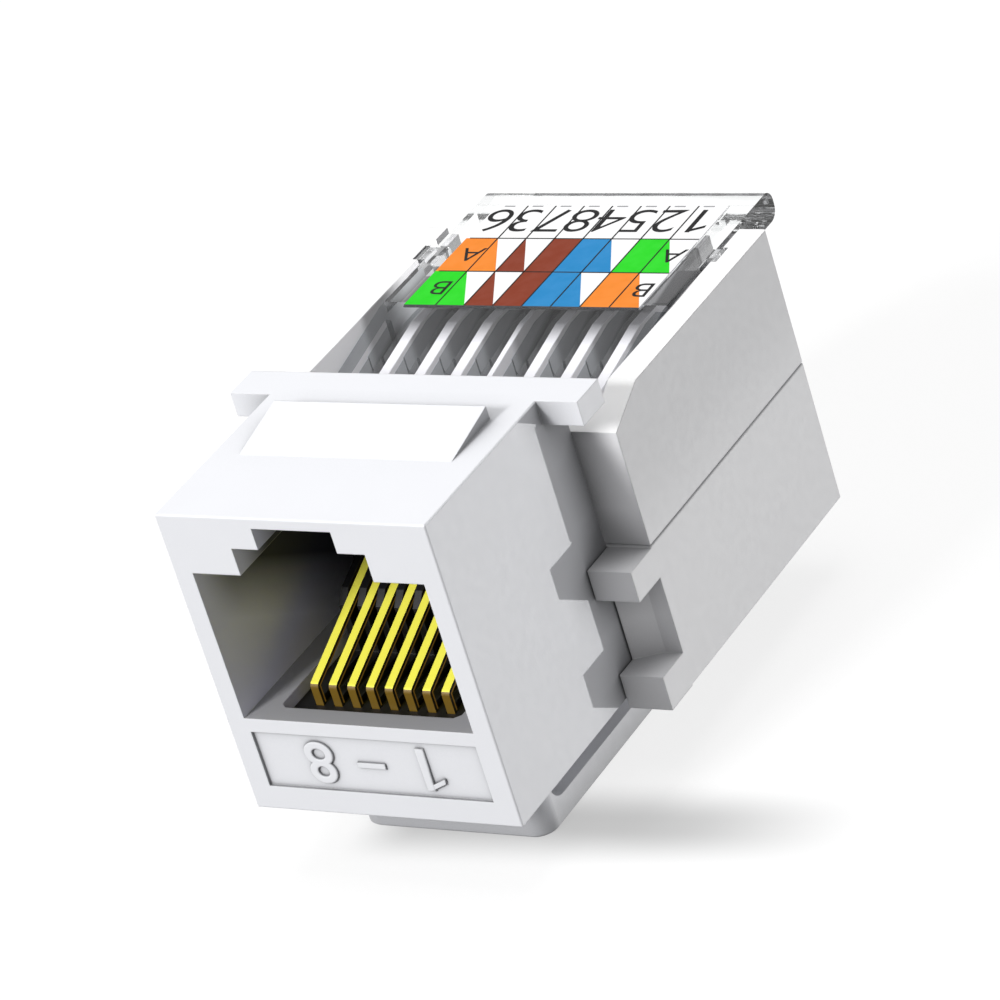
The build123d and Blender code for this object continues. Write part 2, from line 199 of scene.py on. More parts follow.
def makeHollowGloom():
    # Gloom sets how much painted shade a hollow gets
    # Inside is 1 within a box. Gloom grows with depth from the front and by Lift with height over the floor,
    # from 0 where their sum is Clear to 1 after Fade more, and it stays away from the first Open of the depth
    group, start, end = newGroup(
        "hollowGloom",
        {
            "Front": 0.0,
            "Rear": 0.01,
            "Floor": 0.0,
            "Roof": 0.01,
            "Half Width": 0.006,
            "Lift": 1.0,
            "Clear": 0.0,
            "Fade": 0.005,
            "Open": 0.001,
        },
        {"Inside": "Float", "Gloom": "Float"},
    )
    x, y, z = objectAxes(group)[1:]
    inside = maths(group, "LESS_THAN", maths(group, "ABSOLUTE", x), start["Half Width"])
    for value, low, high in ((y, start["Front"], start["Rear"]), (z, start["Floor"], start["Roof"])):
        inside = maths(group, "MULTIPLY", inside, maths(group, "GREATER_THAN", value, low))
        inside = maths(group, "MULTIPLY", inside, maths(group, "LESS_THAN", value, high))
    group.links.new(inside, end["Inside"])
    depth = maths(group, "SUBTRACT", y, start["Front"])
    height = maths(group, "SUBTRACT", z, start["Floor"])
    reach = maths(group, "MULTIPLY_ADD", height, start["Lift"], depth)
    reach = maths(group, "SUBTRACT", reach, start["Clear"])
    gloom = maths(group, "DIVIDE", reach, start["Fade"], clamp=True)
    gloom = maths(group, "MULTIPLY", gloom, ramp(group, depth, 0.0, start["Open"]))
    group.links.new(gloom, end["Gloom"])
    return group


mouldGrain = makeMouldGrain()
edgeCatch = makeEdgeCatch()
cornerShade = makeCornerShade()
hollowGloom = makeHollowGloom()
print("shared effects: mouldGrain, edgeCatch, cornerShade, hollowGloom")


# Materials
faceLimit = 0.7  # a face looks one way where its normal's share on that axis is over this


def newMaterial(name):
    material = bpy.data.materials.new(name)
    material.use_nodes = True
    tree = material.node_tree
    return material, tree, tree.nodes["Principled BSDF"]


def setRoughness(tree, shader, grain, middle, swing):
    rough = ramp(tree, grain["Polish"], *effects["polish"], middle - swing, middle + swing)
    tree.links.new(rough, shader.inputs["Roughness"])


def setBump(tree, shader, grain, strength, normal=None):
    node = placeNode(tree, "ShaderNodeBump")
    node.inputs["Strength"].default_value = strength
    node.inputs["Distance"].default_value = effects["bumpDepth"]
    tree.links.new(grain["Height"], node.inputs["Height"])
    if normal:
        tree.links.new(normal, node.inputs["Normal"])
    tree.links.new(node.outputs[0], shader.inputs["Normal"])


frontMoulding = {
    "colour": (236, 237, 241),
    "drift": (233, 234, 238),
    "paintedEdgeLight": 0.35,
    "edge": 0.07 * mm,
    "grain": 0.12 * mm,
    "roughness": 0.5,
    "swing": 0.012,
    "bump": 0.03,
    # Painted shade in corners, gaps and slots, with less of it near the bottom
    "corner": {"reach": 2.2 * mm, "share": 0.8, "colour": (70, 70, 73)},
    "low": {"from": bodyBox[0].z + 3.0 * mm, "to": bodyBox[0].z + 5.0 * mm, "share": 0.6},
    # Painted shade in the socket: walls fall from the mouth's colour to the throat's with depth, and upward
    # faces take the ledge's grey
    "mouth": (224, 225, 238),
    "throat": (54, 55, 60),
    "ledge": (165, 165, 168),
    "hollow": {
        "Front": frontY + 0.02 * mm,
        "Rear": frontY + 12.1 * mm,
        "Floor": bodyBox[0].z + 8.2 * mm,
        "Roof": bodyBox[0].z + 19.4 * mm,
        "Half Width": 6.6 * mm,
        "Lift": 1.7,
        "Clear": 10.16 * mm,
        "Fade": 5.5 * mm,
        "Open": 2.6 * mm,
    },
}
# Painted shade on the ribs' sides: pale down to a slope, which lies deeper towards the front, and fading
# below it
ribs = {
    "slope": math.radians(17.0),
    "rise": labelBox[0].z - 0.75 * mm - boardTop,
    "pale": 1.1 * mm,
    "fade": 0.5 * mm,
    "hollow": 7.7 * mm,
    "level": 7.65 * mm,
}
rearMoulding = {
    "colour": (243, 243, 245),
    "drift": (240, 240, 242),
    "paintedEdgeLight": 0.3,
    "edge": 0.09 * mm,
    "grain": 0.12 * mm,
    "roughness": 0.5,
    "swing": 0.012,
    "bump": 0.03,
    # Painted shade in corners, gaps and slots, with less of it lower down
    "corner": {"reach": 2.2 * mm, "share": 0.85, "colour": (70, 70, 73)},
    "low": {"from": bodyBox[0].z + 9.0 * mm, "to": bodyBox[0].z + 14.0 * mm, "share": 0.5},
    # Painted light: raised faces that look up are written white and take little painted corner shade
    "paintedUpLight": {"above": 0.3, "from": bodyBox[0].z + 14.0 * mm, "share": 0.03, "colour": (255, 255, 255)},
    # Painted light: side faces in the hollow glow, fully on the side walls by the label and weakly on the
    # ribs
    "glow": {"strength": 0.6, "ribs": 0.13},
    # Painted shade in the hollow under the cap: walls fall from the mouth's colour to the throat's
    "mouth": (252, 252, 253),
    "throat": (96, 96, 98),
    "hollow": {
        "Front": labelBox[0].y - ribs["hollow"],
        "Rear": labelBox[0].y + 6.1 * mm,
        "Floor": boardTop,
        "Roof": labelBox[0].z + 1.5 * mm,
        "Half Width": 8.25 * mm,
        "Lift": -1 / math.tan(ribs["slope"]),
        "Clear": (ribs["pale"] - ribs["rise"]) / math.tan(ribs["slope"]) + ribs["level"],
        "Fade": ribs["fade"] / math.tan(ribs["slope"]),
        "Open": 0.1 * mm,
    },
    # Painted shadow of the label: rib tops turn grey towards it
    "top": {
        "from": labelBox[0].y - 1.8 * mm,
        "to": labelBox[0].y + 0.1 * mm,
        "near": (252, 252, 253),
        "far": (134, 134, 136),
    },
    # Painted light: the side walls by the label are written pale
    "paintedPaleWalls": {
        "beyond": 8.1 * mm,
        "front": (labelBox[0].y + 0.5 * mm, labelBox[0].y + 3.0 * mm),
        "from": labelBox[0].z - 3.4 * mm,
        "to": labelBox[0].z - 1.5 * mm,
    },
    # Painted shade under the cap's guides
    "under": {"from": labelBox[0].y - 1.7 * mm, "to": labelBox[0].y - 0.9 * mm, "share": 0.6},
    # Painted shade: upright sides darker higher up
    "side": {
        "from": bodyBox[0].z + 9.5 * mm,
        "to": bodyBox[0].z + 15.5 * mm,
        "low": (226, 226, 228),
        "high": (205, 205, 207),
    },
}
blackInsert = {
    "colour": (20, 20, 21),
    "drift": (27, 27, 28),
    "paintedEdgeLight": 0.04,
    "edge": 0.05 * mm,
    "grain": 0.1 * mm,
    "roughness": 0.45,
    "swing": 0.012,
    "bump": 0.2,
}
boardMask = {
    "colour": (24, 26, 28),
    "drift": (34, 37, 39),
    "paintedEdgeLight": 0.1,
    "edge": 0.04 * mm,
    "grain": 0.2 * mm,
    "roughness": 0.35,
    "swing": 0.012,
    "bump": 0.15,
}


def paintSideShade(tree, look, colour, place, facing):
    # Painted shade: upright sides grow darker with height
    sideways = maths(tree, "GREATER_THAN", maths(tree, "ABSOLUTE", facing[0]), faceLimit)
    raised = ramp(tree, place[2], look["side"]["from"], look["side"]["to"])
    sideShadeColour = blendColour(tree, raised, shade(*look["side"]["low"]), shade(*look["side"]["high"]))
    return blendColour(tree, sideways, colour, sideShadeColour)


def shadeCorners(tree, look, colour, place, facing):
    # Painted shade: corners darken by share, less near the low end, and hardly at all on raised faces that
    # look up
    corner = useGroup(tree, cornerShade, {"Reach": look["corner"]["reach"]})
    low = look["low"]
    share = ramp(tree, place[2], low["from"], low["to"], low["share"], look["corner"]["share"])
    # Painted light: raised faces that look up are written white
    if "paintedUpLight" in look:
        paintedUpLight = look["paintedUpLight"]
        upLit = maths(tree, "GREATER_THAN", facing[2], paintedUpLight["above"])
        upLit = maths(tree, "MULTIPLY", upLit, maths(tree, "GREATER_THAN", place[2], paintedUpLight["from"]))
        share = ramp(tree, upLit, 0.0, 1.0, share, paintedUpLight["share"], "LINEAR")
        colour = blendColour(tree, upLit, colour, shade(*paintedUpLight["colour"]))
    dimming = maths(tree, "MULTIPLY", corner["Shade"], share)
    return blendColour(tree, dimming, colour, shade(*look["corner"]["colour"]))


def shadeHollow(tree, look, colour, shader, place, facing):
    # Painted shade inside the hollow: pale walls that fall away to the throat's colour, and their own tone
    # for upward faces
    hollow = useGroup(tree, hollowGloom, look["hollow"])
    walls = blendColour(tree, hollow["Gloom"], shade(*look["mouth"]), shade(*look["throat"]))
    upward = maths(tree, "GREATER_THAN", facing[2], faceLimit)
    if "ledge" in look:
        walls = blendColour(tree, upward, walls, shade(*look["ledge"]))
    if "top" in look:
        top = look["top"]
        far = ramp(tree, place[1], top["from"], top["to"])
        tops = blendColour(tree, far, shade(*top["near"]), shade(*top["far"]))
        walls = blendColour(tree, upward, walls, tops)
    if "paintedPaleWalls" in look:
        walls = paintWallShadeAndGlow(tree, look, walls, shader, place, facing, hollow["Inside"], upward)
    return blendColour(tree, hollow["Inside"], colour, walls)


def paintWallShadeAndGlow(tree, look, walls, shader, place, facing, inside, upward):
    # Painted shade under the cap's guides, painted light on the side walls by the label, and a painted glow
    # on side faces in the hollow
    under, paintedPaleWalls, glow = look["under"], look["paintedPaleWalls"], look["glow"]
    covered = ramp(tree, place[1], under["from"], under["to"], 0.0, under["share"])
    covered = maths(tree, "MULTIPLY", covered, maths(tree, "SUBTRACT", 1.0, upward))
    walls = blendColour(tree, covered, walls, shade(*look["throat"]))
    beside = maths(tree, "GREATER_THAN", maths(tree, "ABSOLUTE", place[0]), paintedPaleWalls["beyond"])
    beside = maths(tree, "MULTIPLY", beside, ramp(tree, place[1], *paintedPaleWalls["front"]))
    raised = ramp(tree, place[2], paintedPaleWalls["from"], paintedPaleWalls["to"])
    pale = blendColour(tree, raised, shade(*look["throat"]), shade(*look["mouth"]))
    walls = blendColour(tree, beside, walls, pale)
    lit = maths(tree, "GREATER_THAN", maths(tree, "ABSOLUTE", facing[0]), faceLimit)
    lit = maths(tree, "MULTIPLY", lit, inside)
    lit = maths(tree, "MULTIPLY", lit, ramp(tree, beside, 0.0, 1.0, glow["ribs"], 1.0, "LINEAR"))
    # Painted light: side faces in the hollow glow in the walls' colour
    tree.links.new(blendColour(tree, lit, shade(0, 0, 0), walls), shader.inputs["Emission Color"])
    shader.inputs["Emission Strength"].default_value = glow["strength"]
    return walls


def mouldedPlastic(name, look):
    material, tree, shader = newMaterial(name)
    grain = useGroup(tree, mouldGrain, {"Size": look["grain"]})
    edges = useGroup(tree, edgeCatch, {"Radius": look["edge"]})
    colour = blendColour(tree, grain["Tone"], shade(*look["colour"]), shade(*look["drift"]))
    place, facing = objectAxes(tree)[1:], faceAxes(tree)
    if "side" in look:
        colour = paintSideShade(tree, look, colour, place, facing)
    if "corner" in look:
        colour = shadeCorners(tree, look, colour, place, facing)
    if "hollow" in look:
        colour = shadeHollow(tree, look, colour, shader, place, facing)
    # Painted highlight: edges are blended towards white by the edge mask
    edgeShare = maths(tree, "MULTIPLY", edges["Edge"], look["paintedEdgeLight"])
    colour = blendColour(tree, edgeShare, colour, shade(255, 255, 255))
    tree.links.new(colour, shader.inputs["Base Color"])
    setRoughness(tree, shader, grain, look["roughness"], look["swing"])
    setBump(tree, shader, grain, look["bump"], edges["Normal"])
    return material


goldSpring = {
    "top": (255, 248, 92),
    "end": (112, 88, 30),
    "side": (24, 20, 10),
    "line": (150, 112, 40),
    # Painted shade: towards the rear and low in the groove the colour fades to the rear's dark
    "rear": (30, 27, 8),
    "fadeFrom": 7.6 * mm,
    "fadeTo": 12.4 * mm,
    "lineWidth": 0.08 * mm,
    "thickness": 0.24 * mm,
    "foldHeight": 9.28 * mm,
    "grooveDepth": 0.6 * mm,
    "slope": math.radians(21.5),
    "forwardLimit": 0.75,
    "grain": 0.06 * mm,
    "roughness": 0.32,
    "swing": 0.02,
    "bump": 0.01,
    "metallic": 0.1,
    # Painted light: a faint glow in the spring's own colour
    "glow": 0.2,
}


def makeGoldSpring():
    # Bright plated top, an end painted browner as shade, and sides painted dark as shade with a gold line
    # along their lower edge as a painted highlight
    look = goldSpring
    material, tree, shader = newMaterial("goldPlatedSpring")
    grain = useGroup(tree, mouldGrain, {"Size": look["grain"]})
    y, z = objectAxes(tree)[2:]
    facing = faceAxes(tree)
    sideways = maths(tree, "GREATER_THAN", maths(tree, "ABSOLUTE", facing[0]), faceLimit)
    forward = maths(tree, "LESS_THAN", facing[1], -look["forwardLimit"])
    colour = blendColour(tree, forward, shade(*look["top"]), shade(*look["end"]))
    springFront = springBox[0].y
    foldMiddle = springFront + look["thickness"] / 2
    along = maths(tree, "MULTIPLY", maths(tree, "SUBTRACT", y, foldMiddle), math.tan(look["slope"]))
    below = maths(tree, "SUBTRACT", maths(tree, "ADD", along, look["foldHeight"]), z)
    sloped = maths(tree, "MULTIPLY_ADD", below, math.cos(look["slope"]), look["thickness"] / 2)
    fromFace = maths(tree, "MINIMUM", sloped, maths(tree, "SUBTRACT", y, springFront))
    line = maths(tree, "GREATER_THAN", fromFace, look["thickness"] - look["lineWidth"])
    # Painted shade on the sides, with a painted highlight line along their lower edge
    side = blendColour(tree, line, shade(*look["side"]), shade(*look["line"]))
    colour = blendColour(tree, sideways, colour, side)
    fade = ramp(tree, y, frontY + look["fadeFrom"], frontY + look["fadeTo"])
    inGroove = maths(tree, "LESS_THAN", z, springBox[0].z + look["grooveDepth"])
    inGroove = maths(tree, "MULTIPLY", inGroove, maths(tree, "SUBTRACT", 1.0, forward))
    fade = maths(tree, "MAXIMUM", fade, inGroove)
    colour = blendColour(tree, fade, colour, shade(*look["rear"]))
    tree.links.new(colour, shader.inputs["Base Color"])
    # Painted light: the spring glows faintly in its own colour
    tree.links.new(colour, shader.inputs["Emission Color"])
    shader.inputs["Emission Strength"].default_value = look["glow"]
    shader.inputs["Metallic"].default_value = look["metallic"]
    setRoughness(tree, shader, grain, look["roughness"], look["swing"])
    setBump(tree, shader, grain, look["bump"])
    return material


tinnedBlade = {
    "colour": (205, 206, 208),
    "drift": (170, 171, 174),
    "grain": 0.08 * mm,
    "roughness": 0.28,
    "swing": 0.08,
    "bump": 0.15,
}


def makeTinnedBlade():
    look = tinnedBlade
    material, tree, shader = newMaterial("tinnedBlade")
    grain = useGroup(tree, mouldGrain, {"Size": look["grain"]})
    colour = blendColour(tree, grain["Polish"], shade(*look["colour"]), shade(*look["drift"]))
    tree.links.new(colour, shader.inputs["Base Color"])
    shader.inputs["Metallic"].default_value = 1.0
    setRoughness(tree, shader, grain, look["roughness"], look["swing"])
    setBump(tree, shader, grain, look["bump"])
    return material


clearPlastic = {
    "tint": (254, 255, 255),
    "through": (254, 254, 255),
    "throughSide": (196, 199, 201),
    "grain": 0.5 * mm,
    "roughness": 0.03,
    "swing": 0.02,
    "ripple": 0.25,
    "ior": 1.45,
    "plainRear": labelBox[0].y + 0.3 * mm,
    "underRear": labelBox[0].y + 4.0 * mm,
    "underTop": labelBox[0].z - 0.5 * mm,
    "uprightLimit": 0.5,
    "sideGlint": 3.0,
}


def mixShaders(tree, factor, first, second):
    node = placeNode(tree, "ShaderNodeMixShader")
    for socket, entry in zip(node.inputs, (factor, first, second)):
        tree.links.new(entry, socket)
    return node.outputs[0]


def makeClearPlastic():
    # Bends light behind plainRear. The front, and what hangs under the cap, shows what lies behind it in
    # place, with a grey tint on upright faces and a stronger glint on the guides
    look = clearPlastic
    material, tree, shader = newMaterial("clearPlastic")
    grain = useGroup(tree, mouldGrain, {"Size": look["grain"]})
    shader.inputs["Base Color"].default_value = shade(*look["tint"])
    shader.inputs["Transmission Weight"].default_value = 1.0
    shader.inputs["IOR"].default_value = look["ior"]
    setRoughness(tree, shader, grain, look["roughness"], look["swing"])
    setBump(tree, shader, grain, look["ripple"])
    sheen = placeNode(tree, "ShaderNodeBsdfGlossy")
    sheen.inputs["Roughness"].default_value = look["roughness"]
    tree.links.new(shader.inputs["Normal"].links[0].from_socket, sheen.inputs["Normal"])
    fresnel = placeNode(tree, "ShaderNodeFresnel")
    fresnel.inputs["IOR"].default_value = look["ior"]
    path = placeNode(tree, "ShaderNodeLightPath")
    lamp = maths(tree, "MAXIMUM", path.outputs["Is Shadow Ray"], path.outputs["Is Diffuse Ray"])
    outside = maths(tree, "SUBTRACT", 1.0, placeNode(tree, "ShaderNodeNewGeometry").outputs["Backfacing"])
    y, z = objectAxes(tree)[2:]
    hanging = maths(tree, "LESS_THAN", z, look["underTop"])
    upright = maths(tree, "LESS_THAN", maths(tree, "ABSOLUTE", faceAxes(tree)[2]), look["uprightLimit"])
    straight = placeNode(tree, "ShaderNodeBsdfTransparent")
    seenSide = maths(tree, "SUBTRACT", upright, lamp, clamp=True)
    through = blendColour(tree, seenSide, shade(*look["through"]), shade(*look["throughSide"]))
    tree.links.new(through, straight.inputs["Color"])
    guide = maths(tree, "MULTIPLY", upright, hanging)
    stronger = ramp(tree, guide, 0.0, 1.0, 1.0, look["sideGlint"], "LINEAR")
    glint = maths(tree, "MULTIPLY", fresnel.outputs[0], maths(tree, "SUBTRACT", outside, lamp, clamp=True))
    glint = maths(tree, "MULTIPLY", glint, stronger, clamp=True)
    window = mixShaders(tree, glint, straight.outputs[0], sheen.outputs[0])
    plain = maths(tree, "MULTIPLY", hanging, maths(tree, "LESS_THAN", y, look["underRear"]))
    plain = maths(tree, "MAXIMUM", plain, maths(tree, "LESS_THAN", y, look["plainRear"]))
    plain = maths(tree, "MAXIMUM", lamp, plain)
    surface = mixShaders(tree, plain, shader.outputs[0], window)
    tree.links.new(surface, tree.nodes["Material Output"].inputs["Surface"])
    return material


labelFilm = {
    "colour": (253, 253, 253),
    "drift": (249, 249, 250),
    "frontFaceGrey": (84, 84, 86),
    "roughness": 0.5,
    "specular": 0.12,
    "swing": 0.06,
    "bump": 0.04,
    "grain": 0.2 * mm,
}
inks = {
    "orange": (250, 143, 48),
    "green": (36, 220, 30),
    "brown": (136, 54, 28),
    "blue": (38, 139, 202),
    "black": (8, 8, 9),
    "grey": (168, 169, 172),
}


def printed(name, colour, drift):
    look = labelFilm
    material, tree, shader = newMaterial(name)
    grain = useGroup(tree, mouldGrain, {"Size": look["grain"]})
    face = blendColour(tree, grain["Polish"], shade(*colour), shade(*drift))
    # Faces that look forward are written dark grey
    facingFront = maths(tree, "LESS_THAN", faceAxes(tree)[1], -faceLimit)
    tree.links.new(blendColour(tree, facingFront, face, shade(*look["frontFaceGrey"])), shader.inputs["Base Color"])
    shader.inputs["Specular IOR Level"].default_value = look["specular"]
    setRoughness(tree, shader, grain, look["roughness"], look["swing"])
    setBump(tree, shader, grain, look["bump"])
    return material


finishes = {
    "frontMoulding": mouldedPlastic("frontMoulding", frontMoulding),
    "rearMoulding": mouldedPlastic("rearMoulding", rearMoulding),
    "blackInsert": mouldedPlastic("blackInsert", blackInsert),
    "boardMask": mouldedPlastic("boardMask", boardMask),
    "goldSpring": makeGoldSpring(),
    "tinnedBlade": makeTinnedBlade(),
    "clearPlastic": makeClearPlastic(),
    "labelFilm": printed("labelFilm", labelFilm["colour"], labelFilm["drift"]),
}
inkDrift = 0.94
for inkName, inkColour in inks.items():
    finishes[inkName] = printed("ink_" + inkName, inkColour, [round(c * inkDrift) for c in inkColour])

finishOfNode = {
    "front_body": "frontMoulding",
    "upper_housing": "rearMoulding",
    "lower_shell": "rearMoulding",
    "contact_carrier": "blackInsert",
    "circuit_board": "boardMask",
    "clear_cap": "clearPlastic",
    "wiring_label": "labelFilm",
}
for name, node in nodes.items():
    if name.startswith("contact_") and name != "contact_carrier":
        finish = "goldSpring"
    elif name.startswith("idc_blade"):
        finish = "tinnedBlade"
    else:
        finish = finishOfNode[name]
    node.material_slots[0].material = finishes[finish]
print("materials:", len(finishes))


# Shapes that scene.py adds
def addPrism(mesh, corners, low, high):
    bottom = [mesh.verts.new((x, y, low)) for x, y in corners]
    top = [mesh.verts.new((x, y, high)) for x, y in corners]
    mesh.faces.new(bottom[::-1])
    mesh.faces.new(top)
    count = len(corners)
    for i in range(count):
        j = (i + 1) % count
        mesh.faces.new((bottom[i], bottom[j], top[j], top[i]))


def addBar(mesh, x0, x1, y0, y1, low, high):
    addPrism(mesh, [(x0, y0), (x1, y0), (x1, y1), (x0, y1)], low, high)


def glyphMesh(text, look):
    # A raised character in the XY plane, centred on its own middle
    curve = bpy.data.curves.new("glyph", "FONT")
    curve.body = text
    curve.size = 1.0
    curve.extrude = look["rise"] / look["height"] / 2
    curve.bevel_depth = look.get("bevel", 0.0) / look["height"]
    curve.bevel_resolution = 3 if look.get("bevel") else 0
    curve.offset = look["weight"]
    holder = bpy.data.objects.new("glyph", curve)
    bpy.context.scene.collection.objects.link(holder)
    bpy.context.view_layer.update()
    mesh = bpy.data.meshes.new_from_object(holder.evaluated_get(bpy.context.evaluated_depsgraph_get()))
    bpy.data.objects.remove(holder)
    corners = [v.co for v in mesh.vertices]
    low = Vector([min(c[i] for c in corners) for i in range(3)])
    high = Vector([max(c[i] for c in corners) for i in range(3)])
    scale = look["height"] / (high.y - low.y)
    mesh.transform(Matrix.Translation(-(low + high) / 2))
    mesh.transform(Matrix.Diagonal((scale * look["stretch"], scale, look["height"], 1.0)))
    if text == "1":
        addFlag(mesh, look)
    return mesh


flagLook = {"width": 0.3, "drop": 0.2, "thick": 0.11, "deep": 0.92}  # shares of the digit's height and depth


def addFlag(mesh, look):
    # The font's 1 is a bare stroke, so its short upper stroke is added
    flag = bmesh.new()
    flag.from_mesh(mesh)
    half = max(v.co.x for v in flag.verts)
    top = max(v.co.y for v in flag.verts)
    deep = max(v.co.z for v in flag.verts) * flagLook["deep"]
    width, drop, thick = (look["height"] * flagLook[part] for part in ("width", "drop", "thick"))
    corners = [(-half - width, -drop - thick), (0, -thick), (0, -0.02 * thick), (-half - width, -drop)]
    addPrism(flag, [(x, y + top) for x, y in corners], -deep, deep)
    flag.to_mesh(mesh)
    flag.free()


def pieceFrom(mesh, name, finish, body):
    if isinstance(mesh, bmesh.types.BMesh):
        data = bpy.data.meshes.new(name)
        mesh.to_mesh(data)
        mesh.free()
        mesh = data
    mesh.materials.append(finishes[finish])
    piece = bpy.data.objects.new(name, mesh)
    bpy.context.scene.collection.objects.link(piece)
    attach(piece, body)
    return piece


# Wiring label: two rows of colour cells, some with their colour on one half only, thin ruled lines, and the
# contact numbers, read from the wires' side
labelPrint = {
    "numbers": "63784521",
    "rows": {
        "B": ("green", "green half", "brown half", "brown", "blue", "blue half", "orange", "orange half"),
        "A": ("orange", "orange half", "brown half", "brown", "blue", "blue half", "green", "green half"),
    },
    "margin": 0.2 * mm,
    "rowDepth": 3.13 * mm,
    "line": 0.08 * mm,
    "inkRise": 0.006 * mm,
    "lineRise": 0.012 * mm,
    "digit": {"height": 2.1 * mm, "stretch": 1.1, "rise": 0.018 * mm, "weight": -0.014},
    "letter": {"height": 1.2 * mm, "stretch": 1.08, "rise": 0.018 * mm, "weight": -0.008},
    "letterAcross": 0.58,
    "numberFromRear": 1.42 * mm,
    "numberAcross": 0.36,
    "tick": {"length": 0.6 * mm, "width": 0.09 * mm, "fromRear": 0.1 * mm},
}


def makeLabelPrint():
    look = labelPrint
    left, right = labelBox[0].x + look["margin"], labelBox[1].x
    front, top = labelBox[0].y, labelBox[1].z
    pitch = (right - left) / len(look["numbers"])
    inkMeshes = {name: bmesh.new() for name in inks}
    for row, (letter, cells) in enumerate(look["rows"].items()):
        y0 = front + row * look["rowDepth"]
        y1 = y0 + look["rowDepth"]
        for column, cell in enumerate(cells):
            x0 = left + column * pitch if column else labelBox[0].x
            x1 = left + (column + 1) * pitch
            corners = [(x0, y0), (x1, y0), (x1, y1), (x0, y1)]
            if cell.endswith("half"):
                corners.pop(2)
            addPrism(inkMeshes[cell.split()[0]], corners, top, top + look["inkRise"])
        firstLetter = left + pitch * look["letterAcross"]
        for x in (firstLetter, firstLetter + (len(cells) - 1) * pitch):
            placeGlyph(inkMeshes["black"], letter, look["letter"], x, (y0 + y1) / 2, top)
    dividerEnd = front + 3 * look["rowDepth"]
    half = look["line"] / 2
    for column in range(1, len(look["numbers"])):
        x = left + column * pitch
        addBar(inkMeshes["black"], x - half, x + half, front, dividerEnd, top, top + look["lineRise"])
    for row in (1, 2):
        y = front + row * look["rowDepth"]
        addBar(inkMeshes["black"], left, right, y - half, y + half, top, top + look["lineRise"])
    for column, number in enumerate(look["numbers"]):
        x = left + (column + look["numberAcross"]) * pitch
        placeGlyph(inkMeshes["black"], number, look["digit"], x, dividerEnd - look["numberFromRear"], top)
        tick = look["tick"]
        y = labelBox[1].y - tick["fromRear"]
        half = tick["length"] / 2
        addBar(inkMeshes["grey"], x - half, x + half, y - tick["width"], y, top, top + look["lineRise"])
    for name, mesh in inkMeshes.items():
        pieceFrom(mesh, "label_print_" + name, name, "cap")


def placeGlyph(mesh, text, look, x, y, z):
    glyph = glyphMesh(text, look)
    glyph.transform(Matrix.Translation((x, y, z + look["rise"] / 2)) @ Matrix.Rotation(math.pi, 4, "Z"))
    mesh.from_mesh(glyph)
    bpy.data.meshes.remove(glyph)


makeLabelPrint()
print("label print:", len(inks), "inks")


# Marking under the socket: raised numbers of the first and the last contact, upside down as on the real jack
marking = {
    "characters": (("1", -2.9 * mm), ("-", 0.0), ("8", 2.75 * mm)),
    "dash": {"length": 1.5 * mm, "width": 0.3 * mm, "rise": 0.12 * mm},
    "middle": 6.64 * mm,
    "inset": 0.01 * mm,
    "digit": {"height": 2.3 * mm, "stretch": 1.05, "rise": 0.1 * mm, "bevel": 0.05 * mm, "weight": -0.006},
}


def makeMarking():
    look = marking
    joined = bmesh.new()
    for text, across in look["characters"]:
        if text == "-":
            x, y, z = (look["dash"][side] / 2 for side in ("length", "width", "rise"))
            addBar(joined, across - x, across + x, -y, y, -z, z)
            continue
        glyph = glyphMesh(text, look["digit"])
        glyph.transform(Matrix.Translation((across, 0, 0)))
        joined.from_mesh(glyph)
        bpy.data.meshes.remove(glyph)
    rise = max(v.co.z for v in joined.verts)
    place = Vector((0, frontY + look["inset"] + rise, look["middle"]))
    turn = Matrix.Rotation(math.pi, 4, "Y") @ Matrix.Rotation(math.pi / 2, 4, "X")
    bmesh.ops.transform(joined, matrix=Matrix.Translation(place) @ turn, verts=joined.verts)
    pieceFrom(joined, "contact_numbers", "frontMoulding", "jack")


makeMarking()
print("marking placed")

# Floor, lamps and world
floorLook = {
    "size": 4.0,
    "grain": 2 * mm,
    "colour": (140, 140, 140),
    "drift": (139, 139, 139),
    "bounce": (120, 120, 120),
    "glow": 0.78,
    # Painted shadow on the floor beside the jack
    "shade": {
        "left": (-6.0 * mm, -2.0 * mm),
        "right": (22.5 * mm, 9.5 * mm),
        "middle": -10.98 * mm,
        "lean": 0.08,
        "reach": (3.6 * mm, 0.3 * mm),
        "colour": (90, 90, 90),
        "glow": 0.49,
    },
}


def placeFloorShade(tree):
    # Painted shadow: a soft contact shade in a band under the front and along the latch arm's side
    look = floorLook["shade"]
    x, y = objectAxes(tree)[1:3]
    middle = maths(tree, "MULTIPLY_ADD", x, look["lean"], look["middle"])
    aside = maths(tree, "ABSOLUTE", maths(tree, "SUBTRACT", y, middle))
    band = ramp(tree, aside, *look["reach"])
    band = maths(tree, "MULTIPLY", band, ramp(tree, x, *look["left"]))
    return maths(tree, "MULTIPLY", band, ramp(tree, x, *look["right"]))


def seenDirectly(tree):
    # 1 for the eye, for mirrors and through clear plastic, 0 for light on its way between surfaces
    path = placeNode(tree, "ShaderNodeLightPath")
    seen = maths(tree, "MAXIMUM", path.outputs["Is Camera Ray"], path.outputs["Is Glossy Ray"])
    return maths(tree, "MAXIMUM", seen, path.outputs["Is Transmission Ray"])


